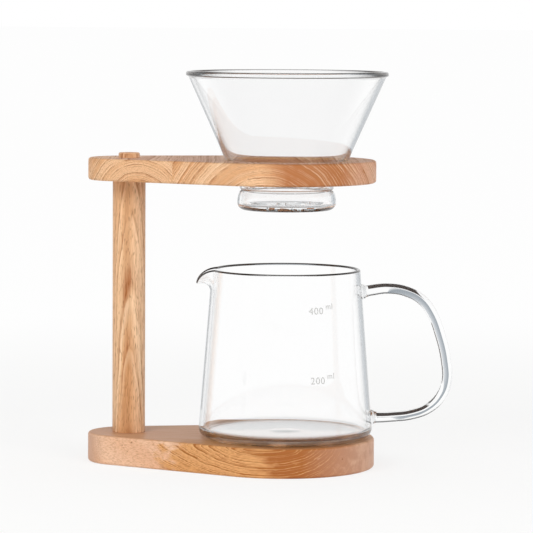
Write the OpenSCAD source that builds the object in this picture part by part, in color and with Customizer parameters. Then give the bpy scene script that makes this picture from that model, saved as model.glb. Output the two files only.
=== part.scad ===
// Pour-over coffee stand: two teardrop beech boards on a round post, a glass dripper hung in the
// upper board and a glass jug standing on the lower one. Sizes are in millimetres.
// X runs from the post to the drip axis, Z is up, and the origin is on the drip axis at table level.

/* [Boards] */
// Distance from the post's axis to the drip axis
reach = 90.5; // [75:0.5:120]
// Radius of the boards' narrow end, around the post
narrow_r = 23; // [16:0.5:32]
// Radius of the boards' wide end
wide_r = 52.3; // [46:0.1:65]
// Distance of the wide end's centre from the drip axis, towards the post
wide_in = 2.4; // [0:0.2:5]
// Thickness of the base board
base_thick = 16.5; // [12:0.5:25]
// Thickness of the arm board
arm_thick = 12.5; // [8:0.5:20]
// Radius of the rounded edges of both boards
board_edge = 1.5; // [0.5:0.25:3]

/* [Post] */
// Diameter of the post
post_d = 18.5; // [15:0.5:30]
// Diameter of the tenon at the post's foot
tenon_d = 12; // [8:0.5:13]
// Depth of the tenon in the base board
tenon_len = 8; // [4:0.5:9]
// Diameter of the peg that carries the arm
peg_d = 12; // [8:0.5:13]
// Depth of the peg in the post
peg_depth = 20; // [10:1:40]
// Height of the peg above the arm board
peg_proud = 3; // [0.5:0.5:8]
// Radius of the eased edge round the peg's top
peg_edge = 0.75; // [0.25:0.25:2]

/* [Screw] */
// Diameter of the screw's shank
screw_d = 4; // [3:0.5:5]
// Length of the screw from its head's face to its point
screw_len = 40; // [25:1:60]
// Diameter of the screw's countersunk head
head_d = 8; // [6:0.5:10]
// Depth of the head's face below the base's underside
head_sink = 1; // [0.5:0.25:3]
// Length of each arm of the cross slot in the head
slot_len = 4.4; // [3:0.2:5.4]
// Width and depth of the cross slot
slot_w = 1.1; // [0.6:0.1:1.6]

/* [Dripper] */
// Outer diameter of the dripper's rim
rim_d = 113; // [100:0.5:130]
// Height of the rim above the arm board
rim_rise = 49.3; // [35:0.1:70]
// Diameter of the hole in the arm that the cone sits in
seat_d = 68.4; // [60:0.2:76]
// Chamfer round the top of that hole
seat_chamfer = 1; // [0.5:0.25:2]
// Wall of the dripper's cone
cone_wall = 2.2; // [1.5:0.1:3.5]
// Thickness of the rolled rim
rim_roll = 3; // [2:0.25:5]
// Depth below the arm's top at which the cone turns in to the neck
cone_drop = 9; // [6:0.5:14]
// Depth below the arm's top at which the neck starts
neck_drop = 13.5; // [10:0.5:18]
// Diameter of the neck
neck_d = 52.5; // [44:0.5:58]
// Length of the neck
neck_len = 3.5; // [2:0.5:8]
// Depth of the groove between the neck and the foot
groove = 1; // [0.5:0.25:2]
// Diameter of the rounded foot
foot_d = 55.2; // [46:0.2:60]
// Height of the rounded foot
foot_h = 11; // [8:0.5:18]
// Radius of the foot's lower edge
foot_round = 4.2; // [2:0.2:6]
// Width of the ring that the foot stands on
foot_ring = 3; // [2:0.25:6]
// Thickness of the dripper's floor
floor_thick = 3; // [2:0.25:5]
// Depth of the hollow under the floor
floor_hollow = 1; // [0.25:0.25:1.5]
// Number of drain holes, with a rib between each two
drain_count = 3; // [2:1:4]
// Diameter of a drain hole
drain_d = 5; // [3:0.5:7]
// Distance of the drain holes from the drip axis
drain_r = 10; // [7:0.5:14]
// Height of the ribs on the floor
rib_h = 1.5; // [0.5:0.25:3]
// Width of the ribs on the floor
rib_w = 2; // [1:0.25:4]

/* [Jug] */
// Height of the jug
jug_h = 94.5; // [70:0.5:120]
// Outer diameter of the jug's rim
jug_rim_d = 83; // [60:0.5:92]
// Largest outer diameter of the jug, near its bottom
jug_d = 97.2; // [84:0.2:110]
// Wall of the jug
jug_wall = 2; // [1.5:0.1:3]
// Thickness of the jug's floor
jug_floor = 3.5; // [2.5:0.25:5]
// Outer radius of the jug's bottom corner
jug_corner = 5; // [3:0.5:12]
// Depth of the hollow under the jug's floor
jug_hollow = 1.2; // [0.4:0.2:1.6]
// Width of the ring that the jug stands on
jug_ring = 4; // [2:0.5:8]
// Turn of the jug's handle from the stand's length
jug_turn = 12.5; // [-45:0.5:45]
// Distance from the jug's rim to the dripper's foot
drip_gap = 33; // [15:1:60]

/* [Spout] */
// Distance of the spout's tip from the jug's wall
spout_reach = 9.8; // [6:0.2:14]
// Drop of the spout's tip below the rim
spout_drop = 6.6; // [4:0.2:9]
// Depth of the spout's root below the rim
spout_depth = 12; // [10:0.5:18]
// Width inside the spout at the jug's wall
spout_w = 17; // [10:0.5:26]
// Width inside the spout at its tip
tip_w = 1.6; // [0.6:0.2:5]

/* [Handle] */
// Diameter of the handle's rod
rod_d = 6; // [5:0.25:9]
// Height of the handle's upper run above the jug's bottom
handle_top = 83.5; // [70:0.5:84]
// Height of the handle's lower run above the jug's bottom
handle_low = 12; // [11:0.5:20]
// Distance of the handle's outermost point from the jug's axis
handle_out = 95; // [80:0.5:110]
// Radius of the upper bend, at the rod's middle
bend_up = 20; // [10:0.5:24]
// Radius of the lower bend, at the rod's middle
bend_low = 21; // [10:0.5:24]
// Lean of the grip, outwards to its lower end
grip_lean = 13.7; // [0:0.1:18]
// Extra radius of the flared roots
flare = 1.4; // [0.5:0.1:2.5]
// Length of the flared roots
flare_len = 3.5; // [2:0.5:6]

/* [Clearances] */
// Radial clearance of the arm on its peg
swivel_fit = 0.08; // [0.02:0.01:0.1]
// Radial clearance of the cone in its seat
seat_gap = 0.3; // [0.2:0.05:0.6]
// Glue line round the tenon and the peg
glue_gap = 0.1; // [0.05:0.05:0.3]
// Clearance round the screw
screw_gap = 0.2; // [0.1:0.05:0.5]
// Fusing line between the handle's roots and the jug
fuse_gap = 0.1; // [0.1:0.05:0.3]

/* [Hidden] */
$fn = 96;

beech = "burlywood";
clear_glass = [0.8, 0.88, 0.9, 0.4];

// Cuts run this far past the faces that they open
past = 1;
// Steps in a rounded corner's profile, and facets round a board's end
corner_steps = 6;
board_facets = 64;
// Rings along a flared root and along a bend of the handle, and sides round its rod
flare_steps = 4;
bend_steps = 9;
rod_sides = 20;

// Levels from the table up
jug_z = base_thick;
dripper_drop = neck_drop + neck_len + foot_h;
arm_z = jug_z + jug_h + drip_gap + dripper_drop - arm_thick;
arm_top = arm_z + arm_thick;
tenon_z = base_thick - tenon_len;
peg_z = arm_z - peg_depth;
head_h = (head_d - screw_d) / 2;

// The cone meets the seat at the foot of the seat's chamfer
seat_r = seat_d / 2;
rim_r = rim_d / 2;
cone_slope = (rim_r - seat_r + seat_gap) / (rim_rise + seat_chamfer);
cone_wall_r = cone_wall / cos(atan(cone_slope));
neck_r = neck_d / 2;
foot_r = foot_d / 2;
groove_z = -neck_drop - neck_len;
floor_z = -dripper_drop;
foot_hollow_r = foot_r - foot_round - foot_ring;
rib_len = foot_hollow_r;

jug_r = jug_d / 2;
jug_rim_r = jug_rim_d / 2;
// Centre of the jug's bottom corner, and the wall's lean from upright
corner_x = jug_r - jug_corner;
wall_lean = atan2(jug_h - jug_corner, jug_rim_r - corner_x)
    - acos(jug_corner / norm([jug_rim_r - corner_x, jug_h - jug_corner]));
inner_corner = jug_corner - jug_wall;
inner_corner_z = jug_floor + inner_corner;
rim_wall = jug_wall / cos(wall_lean);

tip_x = jug_rim_r + spout_reach;
tip_z = jug_h - spout_drop;
// The spout's shapes start well inside the jug's wall
spout_start = jug_rim_r - 3 * jug_wall;

rod_r = rod_d / 2;
grip_x = handle_out - rod_r;
grip_len = (handle_top - bend_up - handle_low - bend_low - (bend_low - bend_up) * sin(grip_lean))
    / cos(grip_lean);
low_bend_x = grip_x - bend_low;
up_bend_x = low_bend_x + (bend_low - bend_up) * cos(grip_lean) - grip_len * sin(grip_lean);

// Points on an elliptic arc about a centre, from one angle to another
function arc(centre, rx, rz, from, to) =
    [for (i = [0:corner_steps])
        let (a = from + (to - from) * i / corner_steps)
        centre + [rx * cos(a), rz * sin(a)]];

// Half section of a board with rounded edges, from its axis out to its rim
function board_section(r, thick) = concat(
    [[0, 0]],
    arc([r - board_edge, board_edge], board_edge, board_edge, -90, 0),
    arc([r - board_edge, thick - board_edge], board_edge, board_edge, 0, 90),
    [[0, thick]]);

// Radius of the dripper's cone outside, at a height above the arm
function cone_r(z) = seat_r - seat_gap + (z + seat_chamfer) * cone_slope;

// Outside of the dripper from the rim down to the foot's flat, drawn in by a wall
function dripper_side(wall, cone_in) = concat(
    [[cone_r(rim_rise - rim_roll) - cone_in, rim_rise - rim_roll],
     [cone_r(-cone_drop) - cone_in, -cone_drop],
     [neck_r - wall, -neck_drop],
     [neck_r - wall, groove_z + groove]],
    [for (p = arc([neck_r - groove, groove_z - foot_h + foot_round],
        foot_r - neck_r + groove, foot_h - foot_round, 90, 0)) p - [wall, 0]]);

function reversed(list) = [for (i = [len(list) - 1:-1:0]) list[i]];

// Outer radius of the jug's straight wall at a height
function side_r(z) =
    corner_x + jug_corner / cos(wall_lean) - (z - jug_corner) * tan(wall_lean);

// A place along the handle's rod: its middle, the angle of its outer side and its radius
function root_station(height, angle, s) =
    [[side_r(height) + s * flare_len, height], angle, rod_r + flare * pow(1 - s, 2)];
function bend_stations(centre, radius, from, to) =
    [for (i = [0:bend_steps])
        let (a = from + (to - from) * i / bend_steps)
        [centre + radius * [cos(a), sin(a)], a, rod_r]];

// The ring of points round the rod at a station, and the same ring laid on the jug's wall
function ring(station) =
    [for (j = [0:rod_sides - 1])
        let (turn = 360 * j / rod_sides)
        let (out = station[2] * cos(turn))
        [station[0].x + out * cos(station[1]), station[2] * sin(turn), station[0].y + out * sin(station[1])]];
function on_wall(p) = [sqrt(pow(side_r(p.z) + fuse_gap, 2) - p.y * p.y), p.y, p.z];

module board_end(r, thick) {
    rotate_extrude($fn = board_facets)
        polygon(board_section(r, thick));
}

// A teardrop board: a round end about the post's axis, a wider one near the drip axis and straight sides
module board_blank(thick) {
    hull() {
        translate([-wide_in, 0, 0]) board_end(wide_r, thick);
        translate([-reach, 0, 0]) board_end(narrow_r, thick);
    }
}

module base_board() color(beech) difference() {
    board_blank(base_thick);
    translate([-reach, 0, 0]) {
        translate([0, 0, tenon_z])
            cylinder(d = tenon_d + 2 * glue_gap, h = tenon_len + past);
        translate([0, 0, -past])
            cylinder(d = screw_d + 2 * screw_gap, h = tenon_z + 2 * past);
        translate([0, 0, head_sink])
            cylinder(d1 = head_d + 2 * screw_gap, d2 = screw_d + 2 * screw_gap, h = head_h);
        translate([0, 0, -past])
            cylinder(d = head_d + 2 * screw_gap, h = head_sink + past);
    }
}

module post() color(beech) translate([-reach, 0, 0]) difference() {
    union() {
        translate([0, 0, base_thick]) cylinder(d = post_d, h = arm_z - base_thick);
        translate([0, 0, tenon_z]) cylinder(d = tenon_d, h = tenon_len + past);
    }
    translate([0, 0, peg_z]) cylinder(d = peg_d + 2 * glue_gap, h = peg_depth + past);
    translate([0, 0, tenon_z - past])
        cylinder(d = screw_d + 2 * screw_gap, h = head_sink + screw_len - tenon_z + 2 * past);
}

module arm_peg() color(beech) translate([-reach, 0, 0])
    rotate_extrude()
        polygon(concat(
            [[0, peg_z], [peg_d / 2, peg_z]],
            arc([peg_d / 2 - peg_edge, arm_top + peg_proud - peg_edge], peg_edge, peg_edge, 0, 90),
            [[0, arm_top + peg_proud]]));

module base_screw() color("silver") translate([-reach, 0, head_sink]) difference() {
    rotate_extrude()
        polygon([[0, 0], [head_d / 2, 0], [screw_d / 2, head_h],
            [screw_d / 2, screw_len - screw_d], [0, screw_len]]);
    for (turn = [0, 90])
        rotate(turn)
            cube([slot_len, slot_w, 2 * slot_w], center = true);
}

module arm_board() color(beech) difference() {
    translate([0, 0, arm_z]) board_blank(arm_thick);
    translate([-reach, 0, arm_z - past])
        cylinder(d = peg_d + 2 * swivel_fit, h = arm_thick + 2 * past);
    translate([0, 0, arm_z - past]) cylinder(r = seat_r, h = arm_thick + 2 * past);
    translate([0, 0, arm_top - seat_chamfer])
        cylinder(r1 = seat_r, r2 = seat_r + seat_chamfer + past, h = seat_chamfer + past);
}

module dripper() color(clear_glass) translate([0, 0, arm_top]) {
    roll = rim_roll / 2;
    inner_floor = floor_z + floor_thick;
    outside = dripper_side(0, 0);
    inside = [for (p = dripper_side(cone_wall, cone_wall_r)) if (p.y > inner_floor) p];
    difference() {
        rotate_extrude()
            polygon(concat(
                arc([rim_r - roll, rim_rise - roll], roll, roll, 180, 0),
                outside,
                arc([foot_r - foot_round, floor_z + foot_round], foot_round, foot_round, 0, -90),
                [[foot_hollow_r + floor_hollow, floor_z],
                 [foot_hollow_r, floor_z + floor_hollow],
                 [0, floor_z + floor_hollow],
                 [0, inner_floor],
                 [inside[len(inside) - 1].x - floor_thick / 2, inner_floor]],
                reversed(inside)));
        for (i = [0:drain_count - 1])
            rotate(i * 360 / drain_count)
                translate([drain_r, 0, floor_z - past])
                    cylinder(d = drain_d, h = floor_thick + 2 * past);
    }
    for (i = [0:drain_count - 1])
        rotate((i + 0.5) * 360 / drain_count)
            translate([0, -rib_w / 2, inner_floor - floor_hollow])
                cube([rib_len, rib_w, rib_h + floor_hollow]);
}

// A vertical wedge in plan, from inside the jug's wall past the spout's tip
module spout_plan(grow) {
    root = spout_w / 2 + grow;
    tip = tip_w / 2 + grow;
    linear_extrude(jug_h + 2 * past)
        polygon([[-spout_start, -root], [-jug_rim_r, -root], [-tip_x - past, -tip],
            [-tip_x - past, tip], [-jug_rim_r, root], [-spout_start, root]]);
}

// The spout seen from the side: its underside raised by a floor, and its ends carried on by a length
module spout_elevation(raise, on) {
    half = spout_w / 2 + jug_wall + past;
    translate([0, half, 0]) rotate([90, 0, 0])
        linear_extrude(2 * half)
            polygon([[-spout_start, jug_h - spout_depth + raise],
                [-jug_rim_r - jug_wall / 2, jug_h - spout_depth + raise],
                [-tip_x - on, tip_z - jug_wall + raise],
                [-tip_x - on, tip_z + on],
                [-jug_rim_r, jug_h + on],
                [-spout_start, jug_h + on]]);
}

module jug_shell() {
    lip_z = jug_h - jug_wall / 2;
    rotate_extrude()
        polygon(concat(
            [[0, jug_hollow], [corner_x - jug_ring - jug_hollow, jug_hollow], [corner_x - jug_ring, 0]],
            arc([corner_x, jug_corner], jug_corner, jug_corner, -90, wall_lean),
            arc([side_r(lip_z) - rim_wall / 2, lip_z], rim_wall / 2, jug_wall / 2, 0, 180),
            arc([corner_x, inner_corner_z], inner_corner, inner_corner, wall_lean, -90),
            [[0, jug_floor]]));
}

// All that lies within the middle of the jug's wall
module jug_core() {
    rotate_extrude()
        polygon([[0, jug_floor],
            [side_r(jug_floor) - rim_wall / 2, jug_floor],
            [side_r(jug_h + past) - rim_wall / 2, jug_h + past],
            [0, jug_h + past]]);
}

module jug_body() color(clear_glass) translate([0, 0, jug_z]) rotate(jug_turn) difference() {
    union() {
        jug_shell();
        difference() {
            intersection() {
                spout_plan(jug_wall);
                spout_elevation(0, 0);
            }
            jug_core();
        }
    }
    intersection() {
        spout_plan(0);
        spout_elevation(jug_wall, past);
    }
}

module jug_handle() color(clear_glass) translate([0, 0, jug_z]) rotate(jug_turn) {
    stations = concat(
        [for (i = [0:flare_steps]) root_station(handle_top, 90, i / flare_steps)],
        bend_stations([up_bend_x, handle_top - bend_up], bend_up, 90, grip_lean),
        bend_stations([low_bend_x, handle_low + bend_low], bend_low, grip_lean, -90),
        [for (i = [flare_steps:-1:0]) root_station(handle_low, -90, i / flare_steps)]);
    last = len(stations) - 1;
    rings = [for (i = [0:last])
        [for (p = ring(stations[i])) i == 0 || i == last ? on_wall(p) : p]];
    middles = [on_wall([0, 0, handle_top]), on_wall([0, 0, handle_low])];
    first_end = len(stations) * rod_sides;
    polyhedron(
        points = concat([for (loop = rings) each loop], middles),
        faces = concat(
            [for (i = [0:last - 1], j = [0:rod_sides - 1])
                let (k = (j + 1) % rod_sides)
                each [[i * rod_sides + j, (i + 1) * rod_sides + k, i * rod_sides + k],
                    [i * rod_sides + j, (i + 1) * rod_sides + j, (i + 1) * rod_sides + k]]],
            [for (j = [0:rod_sides - 1])
                let (k = (j + 1) % rod_sides)
                each [[first_end, j, k],
                    [first_end + 1, last * rod_sides + k, last * rod_sides + j]]]));
}

base_board();
post();
arm_peg();
base_screw();
arm_board();
dripper();
jug_body();
jug_handle();
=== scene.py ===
import math

import bpy
from mathutils import Euler, Matrix, Vector


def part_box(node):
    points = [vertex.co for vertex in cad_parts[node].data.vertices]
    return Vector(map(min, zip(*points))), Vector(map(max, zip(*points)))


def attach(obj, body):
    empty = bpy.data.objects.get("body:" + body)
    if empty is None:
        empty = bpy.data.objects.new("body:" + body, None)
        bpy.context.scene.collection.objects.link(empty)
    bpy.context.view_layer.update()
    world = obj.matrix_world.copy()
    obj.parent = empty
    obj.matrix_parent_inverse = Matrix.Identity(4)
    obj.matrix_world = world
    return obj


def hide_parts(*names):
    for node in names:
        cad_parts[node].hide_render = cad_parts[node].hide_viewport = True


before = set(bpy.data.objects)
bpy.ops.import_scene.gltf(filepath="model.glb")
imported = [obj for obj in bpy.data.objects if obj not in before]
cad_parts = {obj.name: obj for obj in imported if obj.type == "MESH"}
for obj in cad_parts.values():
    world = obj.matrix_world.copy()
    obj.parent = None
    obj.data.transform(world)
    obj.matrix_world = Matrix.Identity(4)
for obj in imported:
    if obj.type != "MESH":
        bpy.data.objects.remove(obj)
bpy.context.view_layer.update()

mm = 0.001

# places that the frame gives, in mm
baseLow, baseHigh = [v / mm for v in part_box("base_board")]
armLow, armHigh = [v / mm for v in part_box("arm_board")]
postLow, postHigh = [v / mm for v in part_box("post")]
pegLow, pegHigh = [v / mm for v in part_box("arm_peg")]
dripperLow, dripperHigh = [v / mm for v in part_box("dripper")]
jugLow, jugHigh = [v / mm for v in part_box("jug_body")]
postX = (postLow.x + postHigh.x) / 2  # the post's axis
narrowRadius = postX - baseLow.x
wideRadius = baseHigh.y
wideX = baseHigh.x - wideRadius  # middle of the boards' wide end

# modelling helpers

meshSizes = {"merge": 0.0005, "smoothAngle": 35.0}


def deselect():
    if bpy.context.mode != "OBJECT":
        bpy.ops.object.mode_set(mode="OBJECT")
    bpy.ops.object.select_all(action="DESELECT")


def makeActive(piece):
    deselect()
    piece.select_set(True)
    bpy.context.view_layer.objects.active = piece


def applyModifier(piece, kind, **settings):
    modifier = piece.modifiers.new(kind.lower(), kind)
    for key, value in settings.items():
        setattr(modifier, key, value)
    makeActive(piece)
    bpy.ops.object.modifier_apply(modifier=modifier.name)


def combine(piece, other, operation):
    applyModifier(piece, "BOOLEAN", object=other, operation=operation, solver="EXACT")
    bpy.data.objects.remove(other)


# each corner is (x, z, fillet radius); a fillet becomes an arc, and the list comes back as plain points
def filleted(corners, steps=6):
    points = []
    for i, (x, z, radius) in enumerate(corners):
        here = Vector((x, z))
        if radius == 0 or i in (0, len(corners) - 1):
            points.append(here)
            continue
        back = (Vector(corners[i - 1][:2]) - here).normalized()
        ahead = (Vector(corners[i + 1][:2]) - here).normalized()
        half = back.angle(ahead) / 2
        middle = here + (back + ahead).normalized() * radius / math.sin(half)
        start = here + back * radius / math.tan(half) - middle
        sweep = start.angle_signed(here + ahead * radius / math.tan(half) - middle)
        for k in range(steps + 1):
            points.append(middle + Matrix.Rotation(-sweep * k / steps, 2) @ start)
    return points


# a profile of (radius, height) in mm is drawn point by point, then spun round a vertical axis
def turned(name, profile, steps, axisX=0.0):
    deselect()
    bpy.ops.mesh.primitive_plane_add(size=mm)
    piece = bpy.context.object
    piece.name = name
    bpy.ops.object.mode_set(mode="EDIT")
    bpy.ops.mesh.merge(type="CENTER")
    points = [Vector((axisX + r, 0, z)) * mm for r, z in profile]
    bpy.ops.transform.translate(value=points[0])
    for last, point in zip(points, points[1:]):
        bpy.ops.mesh.extrude_region_move(TRANSFORM_OT_translate={"value": point - last})
    bpy.ops.mesh.select_all(action="SELECT")
    bpy.ops.mesh.spin(steps=steps, angle=math.tau, center=(axisX * mm, 0, 0), axis=(0, 0, 1))
    tidyMesh()
    return piece


# a point from its distance to the drip axis, its angle and its height
def polar(radius, around, z):
    return Vector((radius * math.cos(around), radius * math.sin(around), z)) * mm


# in edit mode: merges doubles, points faces outwards and goes back to object mode
def tidyMesh():
    bpy.ops.mesh.select_all(action="SELECT")
    bpy.ops.mesh.remove_doubles(threshold=meshSizes["merge"] * mm)
    bpy.ops.mesh.normals_make_consistent(inside=False)
    bpy.ops.object.mode_set(mode="OBJECT")


# glass lets the light through to the wood and the floor, so it throws no shadow
def finishPiece(piece, material, body, slot, *nodes):
    makeActive(piece)
    bpy.ops.object.transform_apply()
    bpy.ops.object.shade_smooth_by_angle(angle=math.radians(meshSizes["smoothAngle"]))
    if not piece.data.materials:
        piece.data.materials.append(material)
    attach(piece, body)
    if nodes:
        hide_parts(*nodes)
    piece.visible_shadow = slot != "clear_glass"
    print("piece:", piece.name, len(piece.data.polygons), "faces")


# material helpers

def linear(hexColour):
    channels = [int(hexColour[i:i + 2], 16) / 255 for i in (1, 3, 5)]
    return [c / 12.92 if c <= 0.04045 else ((c + 0.055) / 1.055) ** 2.4 for c in channels] + [1.0]


# kind is a shader node's name; sets go to its sockets or properties, links join outputs to its inputs
def addNode(tree, kind, sets=None, links=None):
    node = tree.nodes.new("ShaderNode" + kind)
    for key, value in (sets or {}).items():
        if isinstance(key, str) and hasattr(node, key):
            setattr(node, key, value)
        else:
            node.inputs[key].default_value = value
    for key, socket in (links or {}).items():
        tree.links.new(socket, node.inputs[key])
    return node


def newMaterial(name):
    material = bpy.data.materials.new(name)
    material.use_nodes = True
    material.node_tree.nodes.clear()
    return material, material.node_tree


# stops are (place, grey value)
def setRamp(node, stops, strength=1.0):
    ramp = node.color_ramp
    while len(ramp.elements) < len(stops):
        ramp.elements.new(0.5)
    for element, (place, value) in zip(ramp.elements, stops):
        element.position = place
        element.color = [strength * value] * 3 + [1.0]


# each colour is a hex value or a socket
def mixColours(tree, a, b, factor):
    node = addNode(tree, "Mix", {"data_type": "RGBA"}, {"Factor": factor})
    for socket, value in ((node.inputs[6], a), (node.inputs[7], b)):
        if isinstance(value, str):
            socket.default_value = linear(value)
        else:
            tree.links.new(value, socket)
    return node.outputs[2]


# Beech, sanded and oiled: pale orange long grain with thin darker ring lines, short dark ray flecks, and a
# pinker, speckled end grain. The rings are cylinders about a pith line, so each cut of a board shows its own
# figure. Sizes are in mm.
beechLook = {
    "light": "#F6CDA2", "middle": "#E2A874", "ring": "#9E5A2A", "pale": "#FFE4C2",
    "fleck": "#8A5228", "end": "#D9A88A",
    "ringGap": 1.7, "wander": 2.6, "wanderSize": 30.0, "bandSize": 8.0,
    "lineStrength": 0.9, "paleLines": 0.5,
    "streakWidth": 5.0, "streakLength": 40.0, "fibreWidth": 0.6, "fibreLength": 22.0,
    "fleckWidth": 0.5, "fleckLength": 3.5, "fleckAmount": 0.45,
    "spots": [], "spotSize": 0.55, "clouds": [],
}
# what all beech shares: how uneven the rings are, how a ring pales and darkens from its early to its late
# wood, and where each noise or slope starts to show and is full
beechFigure = {
    "unevenScale": 0.6, "unevenShift": 2.2, "faintLines": 0.15, "fullLines": 0.85, "wanderStretch": 4.0,
    "noiseRough": 0.55, "knotCore": 0.4, "knotAmount": 0.8, "bump": 0.1, "bumpDepth": 0.2,
    "lateWood": [(0.0, 0.0), (0.45, 0.05), (0.7, 0.35), (0.86, 1.0), (1.0, 0.0)],
    "earlyWood": [(0.0, 0.7), (0.1, 1.0), (0.34, 0.0), (0.96, 0.0), (1.0, 0.7)],
    "streak": {"From Min": 0.34, "From Max": 0.62},
    "band": {"From Min": 0.35, "From Max": 0.65},
    "fibre": {"From Min": 0.42, "From Max": 0.75, "To Max": 0.45},
    "fleck": {"From Min": 0.62, "From Max": 0.74},
    "end": {"From Min": 0.4, "From Max": 0.9},
    # upward faces: where their painted shade starts and where it is full
    "top": {"From Min": 0.5, "From Max": 0.95},
    "gloss": {"To Min": 0.42, "To Max": 0.62},
}


# noise stretched along the log: width across the grain and length along it, in mm
def grainNoise(tree, log, width, length, detail):
    scaled = addNode(tree, "VectorMath",
                     {"operation": "MULTIPLY", 1: (1 / width, 1 / width, 1 / length)}, {0: log})
    noise = addNode(tree, "TexNoise",
                    {"Scale": 1.0, "Detail": detail, "Roughness": beechFigure["noiseRough"]},
                    {"Vector": scaled.outputs[0]})
    return noise.outputs["Fac"]


# millimetres about the pith, Z along the log
def logPlace(tree, place, look):
    if "stave" in look:
        # past this edge the board goes on in a second stave, from another part of the log
        parts = addNode(tree, "SeparateXYZ", links={0: place})
        second = addNode(tree, "Math", {"operation": "LESS_THAN", 1: look["stave"] * mm},
                         {0: parts.outputs[0]})
        place = addNode(tree, "VectorMath",
                        {"operation": "MULTIPLY_ADD", 1: [v * mm for v in look["staveShift"]]},
                        {0: second.outputs[0], 2: place}).outputs[0]
    log = addNode(tree, "Mapping",
                  {"vector_type": "TEXTURE", "Location": [v * mm for v in look["pith"]],
                   "Rotation": [math.radians(a) for a in look["turn"]], "Scale": (mm, mm, mm)},
                  {"Vector": place})
    return log.outputs["Vector"]


# distance from the pith, bent by the wander of the tree
def ringRadius(tree, log, wander, look):
    flat = addNode(tree, "VectorMath", {"operation": "MULTIPLY", 1: (1, 1, 0)}, {0: log})
    radius = addNode(tree, "VectorMath", {"operation": "LENGTH"}, {0: flat.outputs[0]})
    bent = addNode(tree, "Math", {"operation": "MULTIPLY_ADD", 1: 2 * look["wander"]},
                   {0: wander, 2: radius.outputs["Value"]})
    return bent.outputs[0]


# two ramps over each ring: its dark late wood and its pale early wood
def ringRamps(tree, radius, look):
    rings = addNode(tree, "Math", {"operation": "DIVIDE", 1: look["ringGap"]}, {0: radius})
    uneven = addNode(tree, "TexNoise",
                     {"noise_dimensions": "1D", "Scale": beechFigure["unevenScale"], "Detail": 1.0},
                     {"W": rings.outputs[0]})
    shifted = addNode(tree, "Math", {"operation": "MULTIPLY_ADD", 1: beechFigure["unevenShift"]},
                      {0: uneven.outputs["Fac"], 2: rings.outputs[0]})
    phase = addNode(tree, "Math", {"operation": "FRACT"}, {0: shifted.outputs[0]})
    late = addNode(tree, "ValToRGB", links={"Fac": phase.outputs[0]})
    setRamp(late, beechFigure["lateWood"])
    early = addNode(tree, "ValToRGB", links={"Fac": phase.outputs[0]})
    setRamp(early, beechFigure["earlyWood"], look["paleLines"])
    return late.outputs["Color"], early.outputs["Color"]


# beech has clouds of redder or paler wood that don't follow its rings; some leave the lines outside faint.
# Some clouds are painted shade and painted light instead
def woodAndPaintedLightClouds(tree, place, wander, tone, visible, look):
    for cloud in look["clouds"]:
        about = addNode(tree, "Mapping",
                        {"vector_type": "TEXTURE", "Location": [v * mm for v in cloud["place"]],
                         "Scale": [v * mm for v in cloud["size"]]}, {"Vector": place})
        away = addNode(tree, "VectorMath", {"operation": "LENGTH"}, {0: about.outputs["Vector"]})
        ragged = addNode(tree, "Math", {"operation": "MULTIPLY_ADD", 1: cloud["ragged"]},
                         {0: wander, 2: away.outputs["Value"]})
        border = 1 + cloud["ragged"] / 2
        mask = addNode(tree, "MapRange",
                       {"From Min": border + cloud["soft"], "From Max": border - cloud["soft"],
                        "To Max": cloud["amount"]}, {"Value": ragged.outputs[0]})
        tone = mixColours(tree, tone, cloud["tone"], mask.outputs[0])
        if "linesOutside" in cloud:
            fade = addNode(tree, "MapRange",
                           {"From Max": cloud["amount"], "To Min": cloud["linesOutside"]},
                           {"Value": mask.outputs[0]})
            visible = addNode(tree, "Math", {"operation": "MULTIPLY"},
                              {0: visible, 1: fade.outputs[0]}).outputs[0]
    return tone, visible


# a face cut across the log shows the pinker end grain, and upward faces get a painted shade
def endGrainAndTopShade(tree, normal, wood, look):
    grain = Euler([math.radians(a) for a in look["turn"]]).to_matrix() @ Vector((0, 0, 1))
    across = addNode(tree, "VectorMath", {"operation": "DOT_PRODUCT", 1: grain}, {0: normal})
    acrossSize = addNode(tree, "Math", {"operation": "ABSOLUTE"}, {0: across.outputs["Value"]})
    endMask = addNode(tree, "MapRange", {**beechFigure["end"], "To Max": look["endAmount"]},
                      {"Value": acrossSize.outputs[0]})
    wood = mixColours(tree, wood, look["end"], endMask.outputs[0])
    # painted shade on upward faces
    if "topShadeTone" in look:
        parts = addNode(tree, "SeparateXYZ", links={0: normal})
        topShadeMask = addNode(tree, "MapRange", {**beechFigure["top"], "To Max": look["topShadeAmount"]},
                          {"Value": parts.outputs[2]})
        wood = mixColours(tree, wood, look["topShadeTone"], topShadeMask.outputs[0])
    return wood


# small dark pin knots
def pinKnots(tree, place, wood, look):
    size = look["spotSize"] * mm
    for spot in look["spots"]:
        away = addNode(tree, "VectorMath", {"operation": "DISTANCE", 1: [v * mm for v in spot]},
                       {0: place})
        pit = addNode(tree, "MapRange",
                      {"From Min": size, "From Max": beechFigure["knotCore"] * size,
                       "To Max": beechFigure["knotAmount"]},
                      {"Value": away.outputs["Value"]})
        wood = mixColours(tree, wood, look["fleck"], pit.outputs[0])
    return wood


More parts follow.
